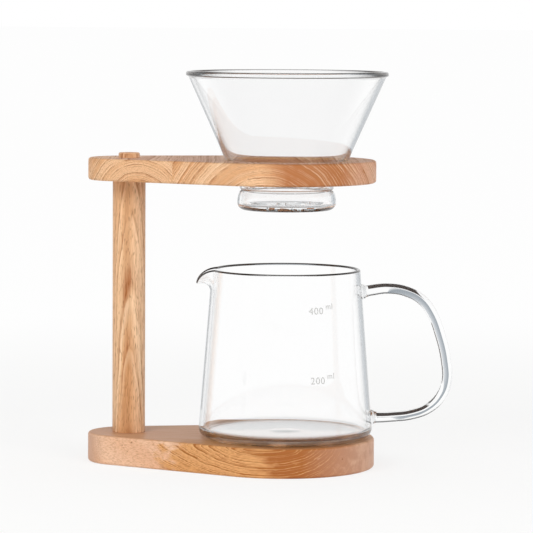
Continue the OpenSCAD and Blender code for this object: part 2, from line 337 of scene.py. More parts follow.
def beech(name, look):
    material, tree = newMaterial(name)
    coordinates = addNode(tree, "TexCoord")
    place = coordinates.outputs["Object"]
    log = logPlace(tree, place, look)
    wanderLength = beechFigure["wanderStretch"] * look["wanderSize"]
    wander = grainNoise(tree, log, look["wanderSize"], wanderLength, 3.0)
    radius = ringRadius(tree, log, wander, look)
    late, early = ringRamps(tree, radius, look)
    bands = addNode(tree, "TexNoise",
                    {"noise_dimensions": "1D", "Scale": 1 / look["bandSize"], "Detail": 2.0}, {"W": radius})
    bandMask = addNode(tree, "MapRange", beechFigure["band"], {"Value": bands.outputs["Fac"]})
    tone = mixColours(tree, look["light"], look["middle"], bandMask.outputs[0])
    streaks = grainNoise(tree, log, look["streakWidth"], look["streakLength"], 2.0)
    streakMask = addNode(tree, "MapRange",
                         {**beechFigure["streak"],
                          "To Min": beechFigure["faintLines"] * look["lineStrength"],
                          "To Max": beechFigure["fullLines"] * look["lineStrength"]}, {"Value": streaks})
    tone, visible = woodAndPaintedLightClouds(tree, place, wander, tone, streakMask.outputs[0], look)
    darkLines = addNode(tree, "Math", {"operation": "MULTIPLY"}, {0: late, 1: visible})
    paleLines = addNode(tree, "Math", {"operation": "MULTIPLY"}, {0: early, 1: visible})
    fibre = grainNoise(tree, log, look["fibreWidth"], look["fibreLength"], 3.0)
    fibreMask = addNode(tree, "MapRange", beechFigure["fibre"], {"Value": fibre})
    dark = addNode(tree, "Math", {"operation": "ADD", "use_clamp": True},
                   {0: darkLines.outputs[0], 1: fibreMask.outputs[0]})
    wood = mixColours(tree, tone, look["ring"], dark.outputs[0])
    wood = mixColours(tree, wood, look["pale"], paleLines.outputs[0])
    flecks = grainNoise(tree, log, look["fleckWidth"], look["fleckLength"], 0.0)
    fleckMask = addNode(tree, "MapRange", {**beechFigure["fleck"], "To Max": look["fleckAmount"]},
                        {"Value": flecks})
    wood = mixColours(tree, wood, look["fleck"], fleckMask.outputs[0])
    wood = endGrainAndTopShade(tree, coordinates.outputs["Normal"], wood, look)
    wood = pinKnots(tree, place, wood, look)
    rough = addNode(tree, "MapRange", beechFigure["gloss"], {"Value": dark.outputs[0]})
    bump = addNode(tree, "Bump",
                   {"Strength": beechFigure["bump"], "Distance": beechFigure["bumpDepth"] * mm},
                   {"Height": fibre})
    shader = addNode(tree, "BsdfPrincipled", {"IOR": 1.5, "Specular IOR Level": 0.3},
                     {"Base Color": wood, "Roughness": rough.outputs[0], "Normal": bump.outputs[0]})
    addNode(tree, "OutputMaterial", links={"Surface": shader.outputs[0]})
    return material


# Borosilicate glass, blown and fire-polished: clear, with thin painted grey shade on its edges where the eye
# looks along the wall, and the faintest uneven polish. The rounded rims get darker painted shade on their
# edges.
glassLook = {
    "ior": 1.474, "depth": "#B9C0C4", "density": 4.0, "bounces": 3.5,
    "smearSize": 14.0, "smearFrom": 0.5, "smearTo": 0.8, "smearRough": 0.02,
    "edge": "#626B73", "edgeShadeFrom": 0.6, "edgeShadeTo": 1.0, "coat": 0.0, "coatIor": 1.7,
}
# the rims get darker, wider painted shade on their edges
jugRimShadeLook = {**glassLook, "edge": "#120C09", "edgeShadeFrom": 0.0, "edgeShadeTo": 0.14}
coneRimShadeLook = {**glassLook, "edge": "#2A2522", "edgeShadeFrom": 0.1, "edgeShadeTo": 0.6}
# the jug's thick floor mirrors more at a low angle, and neither it nor the corner under it gets the painted
# grey edge shade
floorLook = {**glassLook, "edge": "#FFFFFF", "coat": 1.0, "bounces": 2.5}
cornerLook = {**glassLook, "edge": "#FFFFFF"}


def borosilicate(name, look):
    material, tree = newMaterial(name)
    coordinates = addNode(tree, "TexCoord")
    smears = addNode(tree, "TexNoise", {"Scale": 1 / (look["smearSize"] * mm), "Detail": 1.0},
                     {"Vector": coordinates.outputs["Object"]})
    rough = addNode(tree, "MapRange",
                    {"From Min": look["smearFrom"], "From Max": look["smearTo"],
                     "To Max": look["smearRough"]},
                    {"Value": smears.outputs["Fac"]})
    # painted grey shade where the face turns away from the eye
    facing = addNode(tree, "LayerWeight", {"Blend": 0.5})
    edge = addNode(tree, "MapRange",
                   {"interpolation_type": "SMOOTHSTEP", "From Min": look["edgeShadeFrom"],
                    "From Max": look["edgeShadeTo"]}, {"Value": facing.outputs["Facing"]})
    edgeShadeTint = mixColours(tree, "#FFFFFF", look["edge"], edge.outputs[0])
    shader = addNode(tree, "BsdfPrincipled",
                     {"IOR": look["ior"], "Transmission Weight": 1.0, "Coat Weight": look["coat"],
                      "Coat IOR": look["coatIor"]}, {"Base Color": edgeShadeTint, "Roughness": rough.outputs[0]})
    depth = addNode(tree, "VolumeAbsorption",
                    {"Color": linear(look["depth"]), "Density": look["density"]})
    # light that has been bouncing about inside the glass is let out, or it would end up black
    rays = addNode(tree, "LightPath")
    trapped = addNode(tree, "Math", {"operation": "GREATER_THAN", 1: look["bounces"]},
                      {0: rays.outputs["Glossy Depth"]})
    clear = addNode(tree, "BsdfTransparent")
    surface = addNode(tree, "MixShader",
                      links={0: trapped.outputs[0], 1: shader.outputs[0], 2: clear.outputs[0]})
    addNode(tree, "OutputMaterial",
            links={"Surface": surface.outputs[0], "Volume": depth.outputs[0]})
    return material


# Zinc-plated steel: grey metal with a fine, uneven sheen
zincLook = {"dark": "#8E9194", "light": "#BFC2C4", "grainSize": 0.6, "smoothest": 0.28, "roughest": 0.5}


def zincSteel(name, look):
    material, tree = newMaterial(name)
    coordinates = addNode(tree, "TexCoord")
    grains = addNode(tree, "TexNoise", {"Scale": 1 / (look["grainSize"] * mm), "Detail": 3.0},
                     {"Vector": coordinates.outputs["Object"]})
    colour = mixColours(tree, look["dark"], look["light"], grains.outputs["Fac"])
    rough = addNode(tree, "MapRange", {"To Min": look["smoothest"], "To Max": look["roughest"]},
                    {"Value": grains.outputs["Fac"]})
    shader = addNode(tree, "BsdfPrincipled", {"Metallic": 1.0},
                     {"Base Color": colour, "Roughness": rough.outputs[0]})
    addNode(tree, "OutputMaterial", links={"Surface": shader.outputs[0]})
    return material


# Fired screen print: matt pale grey ink, a little uneven
inkLook = {"dark": "#B4B4B2", "light": "#C8C8C6", "grainSize": 0.5, "rough": 0.6}


def printInk(name, look):
    material, tree = newMaterial(name)
    coordinates = addNode(tree, "TexCoord")
    grains = addNode(tree, "TexNoise", {"Scale": 1 / (look["grainSize"] * mm), "Detail": 2.0},
                     {"Vector": coordinates.outputs["Object"]})
    colour = mixColours(tree, look["dark"], look["light"], grains.outputs["Fac"])
    shader = addNode(tree, "BsdfPrincipled", {"Roughness": look["rough"]}, {"Base Color": colour})
    addNode(tree, "OutputMaterial", links={"Surface": shader.outputs[0]})
    return material


# boards

boardSizes = {"edge": 1.5, "edgeSteps": 6, "wideSteps": 192, "narrowSteps": 128,
              "flatAngle": 0.2, "sharpAngle": 60.0}
overrun = 1.0  # cutters run this far past the faces


def boardBlank(name, low, high, sizes):
    deselect()
    thick = (high - low) * mm
    middle = (high + low) / 2 * mm
    bpy.ops.mesh.primitive_cylinder_add(vertices=sizes["wideSteps"], radius=wideRadius * mm, depth=thick,
                                        location=(wideX * mm, 0, middle))
    piece = bpy.context.object
    piece.name = name
    bpy.ops.object.mode_set(mode="EDIT")
    bpy.ops.mesh.primitive_cylinder_add(vertices=sizes["narrowSteps"], radius=narrowRadius * mm, depth=thick,
                                        location=(postX * mm, 0, middle))
    bpy.ops.mesh.select_all(action="SELECT")
    bpy.ops.mesh.convex_hull()
    bpy.ops.mesh.select_all(action="SELECT")
    bpy.ops.mesh.dissolve_limited(angle_limit=math.radians(sizes["flatAngle"]))
    bpy.ops.mesh.select_all(action="DESELECT")
    bpy.ops.mesh.select_mode(type="EDGE")
    bpy.ops.mesh.edges_select_sharp(sharpness=math.radians(sizes["sharpAngle"]))
    bpy.ops.mesh.bevel(offset=sizes["edge"] * mm, segments=sizes["edgeSteps"], affect="EDGES")
    bpy.ops.mesh.select_mode(type="VERT")
    tidyMesh()
    bpy.ops.object.transform_apply()
    return piece


def finishBoard(piece, material, body, node):
    finishPiece(piece, material, body, "beech", node)
    applyModifier(piece, "WEIGHTED_NORMAL", mode="FACE_AREA", weight=100, keep_sharp=True)


baseSizes = {"tenonRadius": 6.1, "tenonDepth": 8.0, "shankRadius": 2.2, "headRadius": 4.2, "headSink": 1.0,
             "boreSteps": 64}
baseLook = {
    **beechLook, "pith": (0, -60, 26), "turn": (0, 90, 0), "end": "#C79A80", "endAmount": 0.75,
    "fleckAmount": 0.2, "ringGap": 1.35, "wander": 0.9, "wanderSize": 4.5,
    "light": "#F2CAAA", "middle": "#E8B793", "pale": "#F6C88C", "ring": "#A8642C",
    "streakWidth": 1.8, "streakLength": 16.0, "lineStrength": 1.6, "paleLines": 0.4,
    # its top gets painted shade, where the arm above shades it
    "topShadeTone": "#A8744A", "topShadeAmount": 0.55,
    "clouds": [{"place": (-10, -48, 3), "size": (53, 44, 24), "soft": 0.1, "ragged": 1.0, "amount": 0.85,
                "tone": "#DFA260", "linesOutside": 0.12},
               {"place": (26, -46, 9), "size": (30, 40, 20), "soft": 0.35, "ragged": 3.0, "amount": 0.9,
                "tone": "#9E551E"}],
    "spots": [(-88, -25.5, 12), (-87, -26, 10.6), (-84.8, -26.7, 8.6), (-86, -26.4, 7), (-83.6, -27.2, 6.8),
              (-81.4, -28, 5.4), (-80, -28.5, 4.4), (-82, -27.5, 14), (38.5, -32.5, 9.5), (40.3, -31, 4)],
}
baseWood = beech("beechBase", baseLook)


# from below: the screw's countersunk head, its shank and the socket of the post's tenon
def baseBore(sizes):
    headTop = sizes["headSink"] + sizes["headRadius"] - sizes["shankRadius"]
    socketZ = baseHigh.z - sizes["tenonDepth"]
    return [(0, -overrun), (sizes["headRadius"], -overrun), (sizes["headRadius"], sizes["headSink"]),
            (sizes["shankRadius"], headTop), (sizes["shankRadius"], socketZ),
            (sizes["tenonRadius"], socketZ), (sizes["tenonRadius"], baseHigh.z + overrun),
            (0, baseHigh.z + overrun)]


base = boardBlank("baseBoard", baseLow.z, baseHigh.z, boardSizes)
combine(base, turned("baseCutter", baseBore(baseSizes), baseSizes["boreSteps"], postX), "DIFFERENCE")
finishBoard(base, baseWood, "stand", "base_board")

armSizes = {"pegRadius": 6.08, "pegSteps": 96, "seatRadius": 34.2, "seatChamfer": 1.0, "seatSteps": 192,
            "boreMargin": 0.3}
armLook = {
    **beechLook, "pith": (-12, 0, 138), "turn": (90, 0, 12), "stave": -57, "staveShift": (72, 0, -12),
    "ringGap": 1.5, "endAmount": 0.1, "wander": 2.0, "wanderSize": 18.0,
    "streakWidth": 6.0, "streakLength": 14.0, "ring": "#AA6A36", "lineStrength": 1.25, "paleLines": 0.45,
    # its top gets a little painted shade
    "fleckAmount": 0.35, "topShadeTone": "#B4835F", "topShadeAmount": 0.25,
    "clouds": [{"place": (26, -46, 164), "size": (25, 30, 40), "soft": 0.3, "ragged": 0.5, "amount": 0.95,
                "tone": "#A86028"},
               # the pinker right end is painted sheen, of the light from the right
               {"place": (56, 0, 160), "size": (17, 60, 40), "soft": 0.3, "ragged": 0.5, "amount": 0.75,
                "tone": "#CE9A80"}],
}
# the bored face is darker: painted shade inside the bore
boreShadeLook = {**armLook, "light": "#E0AC88", "middle": "#D0946E", "ring": "#9A6240", "end": "#B8805F",
            "clouds": []}
armWood = beech("beechArm", armLook)
boreShadeWood = beech("beechBoreShade", boreShadeLook)
armUnder = armLow.z - overrun
armOver = armHigh.z + overrun
seatTop = armHigh.z - armSizes["seatChamfer"]


def pegBore(sizes):
    return [(0, armUnder), (sizes["pegRadius"], armUnder), (sizes["pegRadius"], armOver), (0, armOver)]


def dripperSeat(sizes):
    return [(0, armUnder), (sizes["seatRadius"], armUnder), (sizes["seatRadius"], seatTop),
            (sizes["seatRadius"] + sizes["seatChamfer"] + overrun, armOver), (0, armOver)]


arm = boardBlank("armBoard", armLow.z, armHigh.z, boardSizes)
combine(arm, turned("pegCutter", pegBore(armSizes), armSizes["pegSteps"], postX), "DIFFERENCE")
combine(arm, turned("seatCutter", dripperSeat(armSizes), armSizes["seatSteps"]), "DIFFERENCE")
finishBoard(arm, armWood, "arm", "arm_board")
arm.data.materials.append(boreShadeWood)
# the faces of the bore get the wood with the painted shade
for face in arm.data.polygons:
    if face.center.xy.length < (armSizes["seatRadius"] + armSizes["boreMargin"]) * mm:
        face.material_index = 1  # the bored wood

# post and peg

postSizes = {"radius": (postHigh.x - postLow.x) / 2, "tenon": 6.0, "bore": 6.1, "pilot": 2.2,
             "pilotTop": 42.0, "ease": 0.3, "easeSteps": 3, "steps": 96}
pegSizes = {"radius": (pegHigh.x - pegLow.x) / 2, "ease": 0.3, "edge": 0.9, "crown": 0.25, "edgeSteps": 5,
            "steps": 96}
postLook = {
    **beechLook, "pith": (postX - 6, 16, 90), "turn": (2.5, 2, 0), "endAmount": 0.3,
    # a darker strip down the post's front is painted shade, and a paler strip on its right is painted light
    "clouds": [{"place": (postX + 1, -10, 80), "size": (2.4, 8, 200), "soft": 0.5, "ragged": 1.0,
                "amount": 0.5, "tone": "#B87C48"},
               {"place": (postX + 8, -6, 80), "size": (3, 6, 200), "soft": 0.5, "ragged": 0.5,
                "amount": 0.5, "tone": "#FFDDB8"}],
}
postWood = beech("beechPost", postLook)


# the pilot hole of the screw, the tenon, the shaft and the bore for the peg
def postProfile(sizes):
    return filleted([
        (0, sizes["pilotTop"], 0), (sizes["pilot"], sizes["pilotTop"], 0), (sizes["pilot"], postLow.z, 0),
        (sizes["tenon"], postLow.z, sizes["ease"]), (sizes["tenon"], baseHigh.z, 0),
        (sizes["radius"], baseHigh.z, sizes["ease"]), (sizes["radius"], postHigh.z, sizes["ease"]),
        (sizes["bore"], postHigh.z, 0), (sizes["bore"], pegLow.z, 0), (0, pegLow.z, 0)], sizes["easeSteps"])


def pegProfile(sizes):
    return filleted([
        (0, pegLow.z, 0), (sizes["radius"], pegLow.z, sizes["ease"]),
        (sizes["radius"], pegHigh.z - sizes["crown"], sizes["edge"]), (0, pegHigh.z, 0)], sizes["edgeSteps"])


post = turned("postRound", postProfile(postSizes), postSizes["steps"], postX)
finishPiece(post, postWood, "stand", "beech", "post")
peg = turned("armPegRound", pegProfile(pegSizes), pegSizes["steps"], postX)
finishPiece(peg, postWood, "stand", "beech", "arm_peg")

# the screw keeps its own shape and gets its finish
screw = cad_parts["base_screw"]
screw.data.materials.clear()
screw.data.materials.append(zincSteel("zincPlatedSteel", zincLook))
print("finish: zinc on the screw")

# dripper

dripperSizes = {
    "rimRadius": dripperHigh.x, "rimRoll": 3.0, "rimRound": 1.4, "rollRise": 0.6, "rollRound": 0.5,
    "rollInside": 1.5, "wall": 2.2, "seatRadius": 33.9, "coneDrop": 9.0, "coneInside": 4.0,
    "neckDrop": 13.5, "neckRadius": 26.25, "neckLength": 3.5, "neckRound": 3.0, "groove": 1.0, "ease": 0.8,
    "footRadius": 27.6, "footRound": 4.2, "footRing": 3.0, "floor": 3.0, "floorRound": 1.1, "hollow": 1.0,
    "drains": 3, "drainRadius": 2.5, "drainReach": 10.0, "drainDepth": 20.0, "drainSides": 32,
    "ribHeight": 0.7, "ribWidth": 2.0, "ribEdge": 0.4, "ribEdgeSteps": 3, "steps": 360,
}
hollowRadius = dripperSizes["footRadius"] - dripperSizes["footRound"] - dripperSizes["footRing"]


# quarter of an ellipse from its top, or from its side with reverse
def quarter(x, z, across, up, reverse=False, steps=10):
    angles = [math.pi / 2 * (1 - k / steps) for k in range(steps + 1)]
    points = [(x + across * math.cos(a), z + up * math.sin(a)) for a in angles]
    return points[::-1] if reverse else points


# from the middle of the underside, up the outside, over the rim and down the inside to the floor
def dripperProfile(sizes):
    top = dripperHigh.z
    low = dripperLow.z
    wall = sizes["wall"]
    ease = sizes["ease"]
    slope = (sizes["rimRadius"] - sizes["seatRadius"]) / (top - seatTop)
    coneWall = wall * math.hypot(1, slope)
    coneZ = armHigh.z - sizes["coneDrop"]
    coneR = sizes["seatRadius"] + slope * (coneZ - seatTop)
    neckZ = armHigh.z - sizes["neckDrop"]
    neckR = sizes["neckRadius"]
    neckRound = sizes["neckRound"]
    grooveZ = neckZ - sizes["neckLength"]
    grooveR = neckR - sizes["groove"]
    grooveTop = grooveZ + sizes["groove"]
    footR = sizes["footRadius"]
    footZ = low + sizes["footRound"]
    shoulder = footR - grooveR
    rollZ = top - sizes["rimRoll"]
    rollR = sizes["rimRadius"] - slope * sizes["rimRoll"]
    rollTop = rollZ + sizes["rollRise"]
    hollowZ = low + sizes["hollow"]
    floorZ = low + sizes["floor"]
    outerLow = filleted([
        (0, hollowZ, 0), (hollowRadius, hollowZ, ease), (hollowRadius + sizes["hollow"], low, ease),
        (footR, low, sizes["footRound"]), (footR, grooveZ, 0)])[:-1]
    outerFoot = quarter(grooveR, footZ, shoulder, grooveZ - footZ, True)[1:]
    upper = filleted([
        (grooveR, grooveZ, 0), (neckR, grooveTop, ease), (neckR, neckZ, neckRound),
        (coneR, coneZ, neckRound),
        (rollR, rollZ, sizes["rollRound"]), (sizes["rimRadius"], rollTop, sizes["rollRound"]),
        (sizes["rimRadius"], top, sizes["rimRound"]),
        (sizes["rimRadius"] - sizes["rimRoll"], top, sizes["rimRound"]),
        (rollR - coneWall, rollZ, sizes["rollInside"]), (coneR - coneWall, coneZ, sizes["coneInside"]),
        (neckR - wall, neckZ, neckRound), (neckR - wall, grooveTop, ease),
        (grooveR - wall, grooveZ, 0)])[1:-1]
    innerFoot = quarter(grooveR - wall, footZ, shoulder, grooveZ - footZ)
    innerLow = filleted([
        (footR - wall, footZ, 0), (footR - wall, floorZ, sizes["floorRound"]), (0, floorZ, 0)])[1:]
    return [tuple(point) for point in outerLow + outerFoot + upper + innerFoot + innerLow]


def cutDrains(piece, sizes):
    for i in range(sizes["drains"]):
        around = math.tau * i / sizes["drains"]
        deselect()
        bpy.ops.mesh.primitive_cylinder_add(vertices=sizes["drainSides"], radius=sizes["drainRadius"] * mm,
                                            depth=sizes["drainDepth"] * mm,
                                            location=polar(sizes["drainReach"], around, dripperLow.z))
        combine(piece, bpy.context.object, "DIFFERENCE")


# low ribs between the drains keep the paper off the floor
def addRibs(piece, sizes):
    for i in range(sizes["drains"]):
        around = math.tau * (i + 0.5) / sizes["drains"]
        deselect()
        bpy.ops.mesh.primitive_cube_add(size=1)
        rib = bpy.context.object
        rib.scale = Vector((hollowRadius, sizes["ribWidth"], 2 * sizes["ribHeight"])) * mm
        rib.rotation_euler = (0, 0, around)
        rib.location = polar(hollowRadius / 2, around, dripperLow.z + sizes["floor"])
        applyModifier(rib, "BEVEL", width=sizes["ribEdge"] * mm, segments=sizes["ribEdgeSteps"])
        combine(piece, rib, "UNION")


clearGlass = borosilicate("borosilicateGlass", glassLook)
coneRimShadeGlass = borosilicate("borosilicateConeRimShade", coneRimShadeLook)
jugRimShadeGlass = borosilicate("borosilicateJugRimShade", jugRimShadeLook)
floorGlass = borosilicate("borosilicateFloor", floorLook)
cornerGlass = borosilicate("borosilicateCorner", cornerLook)

# places of the other glasses in a vessel's list
rimShadeSlot = 1
floorSlot = 2
cornerSlot = 3


# the top few millimetres of a vessel are its rim, in the glass with darker painted edge shade
def markRim(piece, rimShadeGlass, top, depth):
    piece.data.materials.append(clearGlass)
    piece.data.materials.append(rimShadeGlass)
    for face in piece.data.polygons:
        if face.center.z > (top - depth) * mm:
            face.material_index = rimShadeSlot


# the underside of the foot is rounded like the rim, and gets the rim's painted edge shade
def markFoot(piece, sizes):
    footTop = dripperLow.z + sizes["footRound"] / 2
    for face in piece.data.polygons:
        outside = face.center.xy.length > hollowRadius * mm
        if outside and face.normal.z < 0 and face.center.z < footTop * mm:
            face.material_index = rimShadeSlot


dripper = turned("dripperGlass", dripperProfile(dripperSizes), dripperSizes["steps"])
cutDrains(dripper, dripperSizes)
addRibs(dripper, dripperSizes)
markRim(dripper, coneRimShadeGlass, dripperHigh.z, dripperSizes["rimRoll"])
markFoot(dripper, dripperSizes)
finishPiece(dripper, clearGlass, "dripper", "clear_glass", "dripper")

# jug

jugSizes = {
    "turn": 12.5, "height": jugHigh.z - jugLow.z, "rimRadius": 41.5, "rimGap": 0.02, "radius": 48.6,
    "wall": 2.0, "floor": 3.5, "corner": 5.0, "cornerSteps": 10, "hollow": 1.2, "hollowRise": 0.3,
    "hollowRound": 1.5, "ring": 4.0, "ringRound": 0.8, "pip": 0.7, "pipRadius": 9.0, "pipRound": 6.0,
    "cornerFacing": 0.8, "floorFacing": 0.5,
    "lipBend": 92.0, "lipDepth": 13.0, "lipArc": 7.4, "lipStraight": 3.4, "lipHalfWidth": 16.0,
    "lipBlunt": 0.1, "lipPower": 1.3, "lipLeast": 0.001, "lipRings": 14,
    "rod": 2.9, "flare": 1.5, "flareShares": (1.0, 0.12, 0.0), "rodSides": 48, "rodSteps": 8, "steps": 432,
}
wallSlope = (jugSizes["radius"] - jugSizes["rimRadius"]) / (jugSizes["height"] - jugSizes["corner"])
# the handle's middle line: distance from the jug's axis and height above its bottom
handlePoints = [
    (41.7, 81.6), (46.5, 82.4), (57.5, 83.6), (68.5, 81.6), (76.5, 77.0), (82.0, 69.5), (86.5, 58.0),
    (90.2, 42.0), (90.6, 31.5), (87.6, 23.4), (81.0, 16.6), (71.5, 12.8), (59.0, 11.3), (51.5, 11.0),
    (47.6, 11.0)]


# from the middle of the underside, up the outside, over the rim and down the inside to the raised middle
def jugProfile(sizes):
    low = jugLow.z
    top = low + sizes["height"]
    floorZ = low + sizes["floor"]
    ringInside = sizes["radius"] - sizes["corner"] - sizes["ring"]
    foot = sizes["rimRadius"] + wallSlope * sizes["height"]
    wall = sizes["wall"] * math.hypot(1, wallSlope)
    inner = foot - wallSlope * sizes["floor"] - wall
    rimRound = sizes["wall"] / 2 - sizes["rimGap"]
    return filleted([
        (0, low + sizes["hollow"] + sizes["hollowRise"], 0),
        (ringInside - sizes["hollow"], low + sizes["hollow"], sizes["hollowRound"]),
        (ringInside, low, sizes["ringRound"]), (foot, low, sizes["corner"]),
        (sizes["rimRadius"], top, rimRound), (sizes["rimRadius"] - wall, top, rimRound),
        (inner, floorZ, sizes["corner"] - sizes["wall"]), (sizes["pipRadius"], floorZ, sizes["pipRound"]),
        (0, floorZ + sizes["pip"], 0)], sizes["cornerSteps"])


def markFloor(piece, sizes):
    piece.data.materials.append(floorGlass)
    piece.data.materials.append(cornerGlass)
    ringOutside = (sizes["radius"] - sizes["corner"]) * mm
    floorTop = (jugLow.z + 2 * sizes["floor"]) * mm
    for face in piece.data.polygons:
        if face.normal.z < -sizes["cornerFacing"] and face.center.xy.length > ringOutside:
            face.material_index = cornerSlot
        elif abs(face.normal.z) > sizes["floorFacing"] and face.center.z < floorTop:
            face.material_index = floorSlot


# the wall gets more rings near the top, then each slice of it near the spout bends outwards, most of all in
# the middle: along an arc, and straight on from its end
def bendLip(piece, sizes):
    depth = sizes["lipDepth"]
    makeActive(piece)
    bpy.ops.object.mode_set(mode="EDIT")
    for k in range(1, sizes["lipRings"] + 1):
        bpy.ops.mesh.select_all(action="SELECT")
        bpy.ops.mesh.bisect(plane_co=(0, 0, (jugHigh.z - depth * k / sizes["lipRings"]) * mm),
                            plane_no=(0, 0, 1))
    tidyMesh()
    lipTurn = math.radians(sizes["turn"] + 180)  # opposite the handle
    lipLow = jugHigh.z - depth
    for vertex in piece.data.vertices:
        x, y, z = vertex.co / mm
        around = math.atan2(y, x)
        offset = abs(math.remainder(around - lipTurn, math.tau)) / math.radians(sizes["lipHalfWidth"])
        if z <= lipLow or offset >= 1:
            continue
        nearness = (1 - math.hypot(offset, sizes["lipBlunt"])) / (1 - sizes["lipBlunt"])
        share = max(sizes["lipLeast"], nearness) ** sizes["lipPower"]
        outerRadius = sizes["rimRadius"] + wallSlope * (jugHigh.z - z)
        inward = outerRadius - math.hypot(x, y)  # 0 on the outer face
        length = depth * (1 - share) + (sizes["lipArc"] + sizes["lipStraight"]) * share
        travel = (z - lipLow) / depth * length
        arcRadius = sizes["lipArc"] / (math.radians(sizes["lipBend"]) * share)
        angle = min(travel, sizes["lipArc"]) / arcRadius
        ahead = max(0.0, travel - sizes["lipArc"])
        out = arcRadius * (1 - math.cos(angle)) + ahead * math.sin(angle) - inward * math.cos(angle)
        up = arcRadius * math.sin(angle) + ahead * math.cos(angle) + inward * math.sin(angle)
        reach = sizes["rimRadius"] + wallSlope * (depth - up) + out
        vertex.co = polar(reach, around, lipLow + up)


# the handle is a bent rod with flared ends
def handleRod(sizes):
    deselect()
    bpy.ops.curve.primitive_bezier_curve_add()
    rod = bpy.context.object
    rod.name = "handleRod"
    path = rod.data.splines[0]
    path.bezier_points.add(len(handlePoints) - 2)
    around = math.radians(sizes["turn"])
    for i, (point, (reach, height)) in enumerate(zip(path.bezier_points, handlePoints)):
        point.co = polar(reach, around, jugLow.z + height)
        point.handle_left_type = "AUTO"
        point.handle_right_type = "AUTO"
        fromEnd = min(i, len(handlePoints) - 1 - i, len(sizes["flareShares"]) - 1)
        point.radius = 1 + sizes["flare"] / sizes["rod"] * sizes["flareShares"][fromEnd]
    path.radius_interpolation = "EASE"
    rod.data.dimensions = "3D"
    rod.data.resolution_u = sizes["rodSteps"]
    rod.data.bevel_depth = sizes["rod"] * mm
    rod.data.bevel_resolution = sizes["rodSides"] // 4
    rod.data.use_fill_caps = True
    makeActive(rod)
    bpy.ops.object.convert(target="MESH")
    bpy.ops.object.mode_set(mode="EDIT")
    tidyMesh()
    bpy.ops.object.transform_apply()
    return rod


jug = turned("jugGlass", jugProfile(jugSizes), jugSizes["steps"])
markRim(jug, jugRimShadeGlass, jugHigh.z, jugSizes["wall"])
markFloor(jug, jugSizes)
bendLip(jug, jugSizes)
combine(jug, handleRod(jugSizes), "UNION")
finishPiece(jug, clearGlass, "jug", "clear_glass", "jug_body", "jug_handle")

# capacity marks, printed on the front of the jug; "marks" gives the height of each number's middle

markSizes = {
    "azimuth": -67.9, "marks": {"400": 74.7, "200": 36.6}, "spacing": 1.1, "curveSteps": 4, "ink": 0.06,
    "clear": 0.03, "digitHeight": 5.4, "digitLeft": -5.0, "digitLow": -1.9,
    "unitHeight": 4.6, "unitLeft": 5.0, "unitLow": 0.7,
}
markInk = printInk("firedPrint", inkLook)


def flatText(words, kind, sizes):
    deselect()
    bpy.ops.object.text_add(location=(sizes[kind + "Left"] * mm, sizes[kind + "Low"] * mm, 0))
    text = bpy.context.object
    text.data.body = words
    text.data.size = sizes[kind + "Height"] * mm
    text.data.space_character = sizes["spacing"]
    text.data.resolution_u = sizes["curveSteps"]
    bpy.ops.object.convert(target="MESH")
    bpy.ops.object.transform_apply()
    return text


# wraps a flat mark round the tapered wall
def wrapMark(mark, height, sizes):
    middle = math.radians(jugSizes["turn"] + sizes["azimuth"])
    for vertex in mark.data.vertices:
        across = vertex.co.x / mm
        z = height + vertex.co.y / mm
        radius = jugSizes["rimRadius"] + wallSlope * (jugSizes["height"] - z) + sizes["clear"]
        vertex.co = polar(radius, middle + across / radius, jugLow.z + z)


for words, height in markSizes["marks"].items():
    mark = flatText(words, "digit", markSizes)
    flatText("ml", "unit", markSizes)
    mark.select_set(True)
    bpy.context.view_layer.objects.active = mark
    bpy.ops.object.join()
    mark.name = "mark" + words
    wrapMark(mark, height, markSizes)
    applyModifier(mark, "SOLIDIFY", thickness=markSizes["ink"] * mm, offset=1.0)
    finishPiece(mark, markInk, "jug", "clear_glass")

# camera: a long lens from the front, a little higher than the dripper's rim

cameraSizes = {
    "azimuth": 11.4, "distance": 1728.0, "side": -11.0, "height": 255.4, "tilt": 4.738, "roll": 0.335,
    "focalPixels": 3100.0, "imagePixels": 533.0, "sensor": 36.0, "farthest": 100.0,
}


def makeCamera(sizes):
    data = bpy.data.cameras.new("camera")
    data.sensor_width = sizes["sensor"]
    data.lens = sizes["sensor"] * sizes["focalPixels"] / sizes["imagePixels"]
    data.clip_end = sizes["farthest"]
    camera = bpy.data.objects.new("camera", data)
    bpy.context.scene.collection.objects.link(camera)
    azimuth = math.radians(sizes["azimuth"])
    back = Vector((math.sin(azimuth), -math.cos(azimuth), 0))
    right = Vector((math.cos(azimuth), math.sin(azimuth), 0))
    place = back * sizes["distance"] + right * sizes["side"] + Vector((0, 0, sizes["height"]))
    aim = Matrix.Rotation(azimuth, 4, "Z") @ Matrix.Rotation(math.radians(90 - sizes["tilt"]), 4, "X")
    camera.matrix_world = Matrix.Translation(place * mm) @ aim \
        @ Matrix.Rotation(math.radians(sizes["roll"]), 4, "Z")
    bpy.context.scene.camera = camera


# stage: floor, world and lamps, in metres, and cards

stageLook = {
    "floor": "#F7F7F5", "floorSize": 80.0,
    "glowNear": 0.75, "glowFar": 0.97, "glowStart": 0.25, "glowEnd": 0.9,
    "ambient": 0.5, "zenith": 0.06, "ceilingFrom": 0.38, "ceilingTo": 0.58,
}


# two sockets: 1 for rays that should meet a white background, which are the camera's and those through glass
# or off a shiny surface, and 1 for those through glass alone
def backgroundRays(tree):
    rays = addNode(tree, "LightPath")
    direct = addNode(tree, "Math", {"operation": "MAXIMUM"},
                     {0: rays.outputs["Is Camera Ray"], 1: rays.outputs["Is Glossy Ray"]})
    seen = addNode(tree, "Math", {"operation": "MAXIMUM"},
                   {0: direct.outputs[0], 1: rays.outputs["Is Transmission Ray"]})
    return seen.outputs[0], rays.outputs["Is Transmission Ray"]


